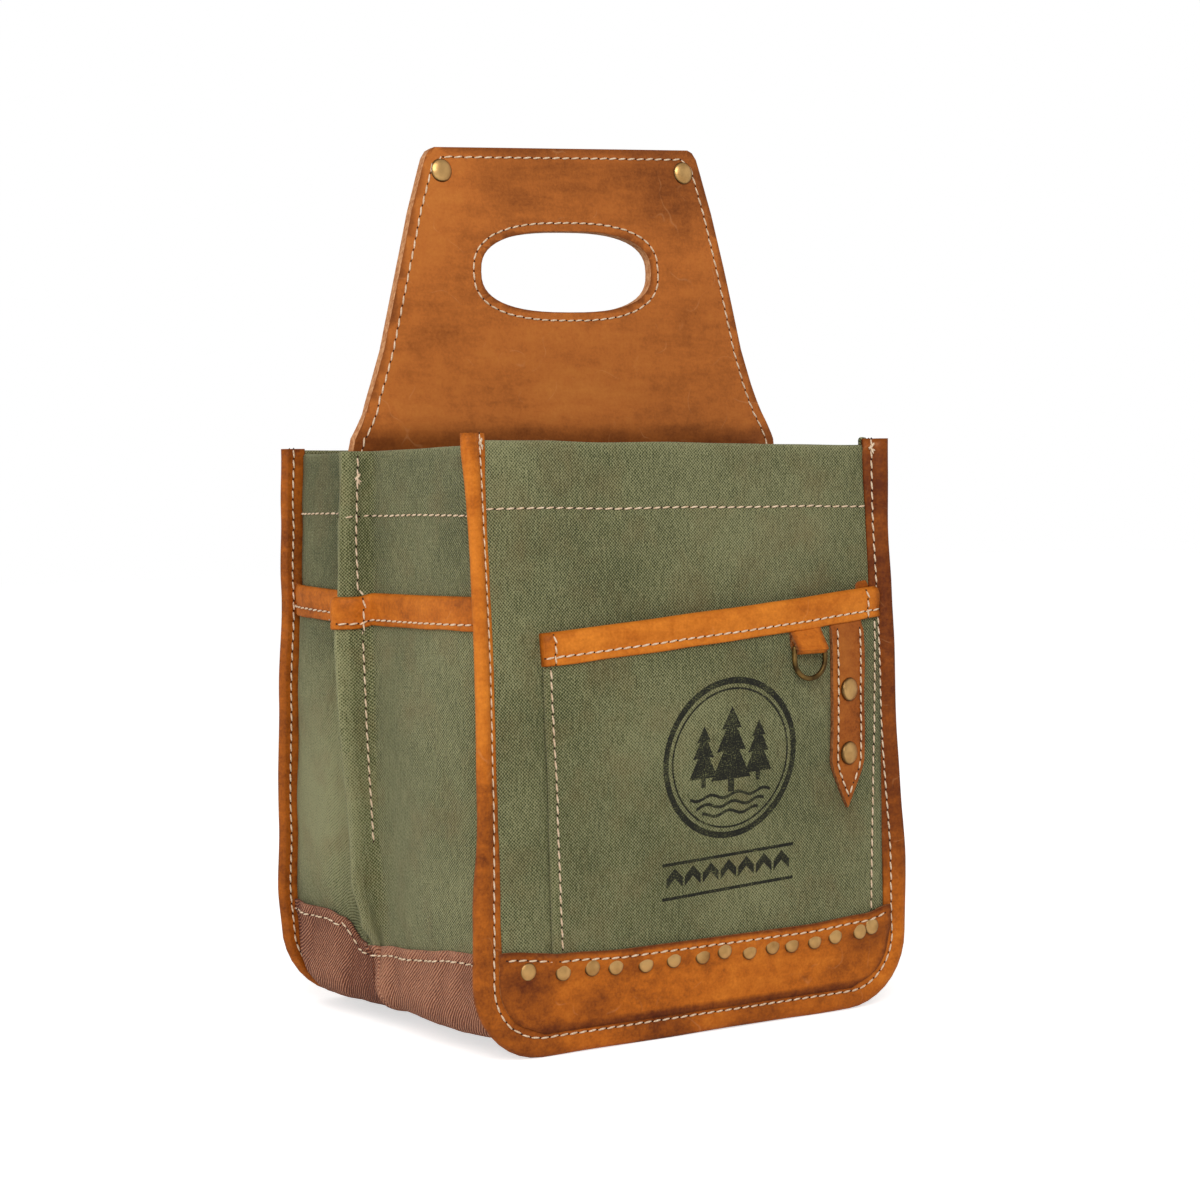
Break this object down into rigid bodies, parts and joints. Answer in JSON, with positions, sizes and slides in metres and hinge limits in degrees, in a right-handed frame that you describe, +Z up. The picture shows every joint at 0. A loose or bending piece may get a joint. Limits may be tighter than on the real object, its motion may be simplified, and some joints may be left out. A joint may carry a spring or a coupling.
{
  "type": "six pack carrier",
  "caption": "Canvas bottle carrier bound in leather, with a leather handle panel, a divided inside, a riveted base band, outside pockets and a hanging ring.",
  "frame": {"origin": "the middle of the object's box, on the ground that it stands on", "axes": "+Z up along the height, +X to the right seen from the front pocket's side, the front faces -Y"},
  "size_m": [0.2268, 0.1709, 0.3711],
  "materials": {
    "olive_canvas": "washed cotton canvas, plain weave",
    "brown_canvas": "brown cotton canvas",
    "tan_leather": "waxed tan leather, darker along its edges",
    "handle_leather": "waxed brown leather, mottled and creased",
    "antique_brass": "aged brass, satin",
    "stiffener_board": "plain stiffener board, hidden"
  },
  "bodies": {
    "root": {"front_panel": "olive_canvas", "back_panel": "olive_canvas", "left_gusset": "olive_canvas", "right_gusset": "olive_canvas", "front_pocket": "olive_canvas", "left_side_pocket": "olive_canvas", "right_side_pocket": "olive_canvas", "centre_divider": "olive_canvas", "front_left_divider": "olive_canvas", "front_right_divider": "olive_canvas", "back_left_divider": "olive_canvas", "back_right_divider": "olive_canvas", "base_gusset": "brown_canvas", "base_liner": "brown_canvas", "front_binding": "tan_leather", "back_binding": "tan_leather", "front_band": "tan_leather", "back_band": "tan_leather", "front_pocket_binding": "tan_leather", "strap": "tan_leather", "ring_tab": "tan_leather", "left_side_pocket_binding": "tan_leather", "right_side_pocket_binding": "tan_leather", "handle_tail_front": "handle_leather", "handle_tail_back": "handle_leather", "band_rivets": "antique_brass", "strap_rivets": "antique_brass", "base_board": "stiffener_board"},
    "handle": {"handle_front": "handle_leather", "handle_back": "handle_leather", "handle_board": "stiffener_board", "handle_rivets": "antique_brass"},
    "ring": {"d_ring": "antique_brass"}
  },
  "joints": [
    {"name": "handle_lean", "type": "hinge", "parent": "root", "child": "handle", "pos_m": [0, 0.00535, 0.2434], "axis": [1, 0, 0], "range_deg": [-20, 25], "stiffness_Nm_per_rad": 1.5},
    {"name": "ring_swing", "type": "hinge", "parent": "root", "child": "ring", "pos_m": [0.052, -0.0831, 0.15613], "axis": [-1, 0, 0], "range_deg": [0, 150]}
  ]
}
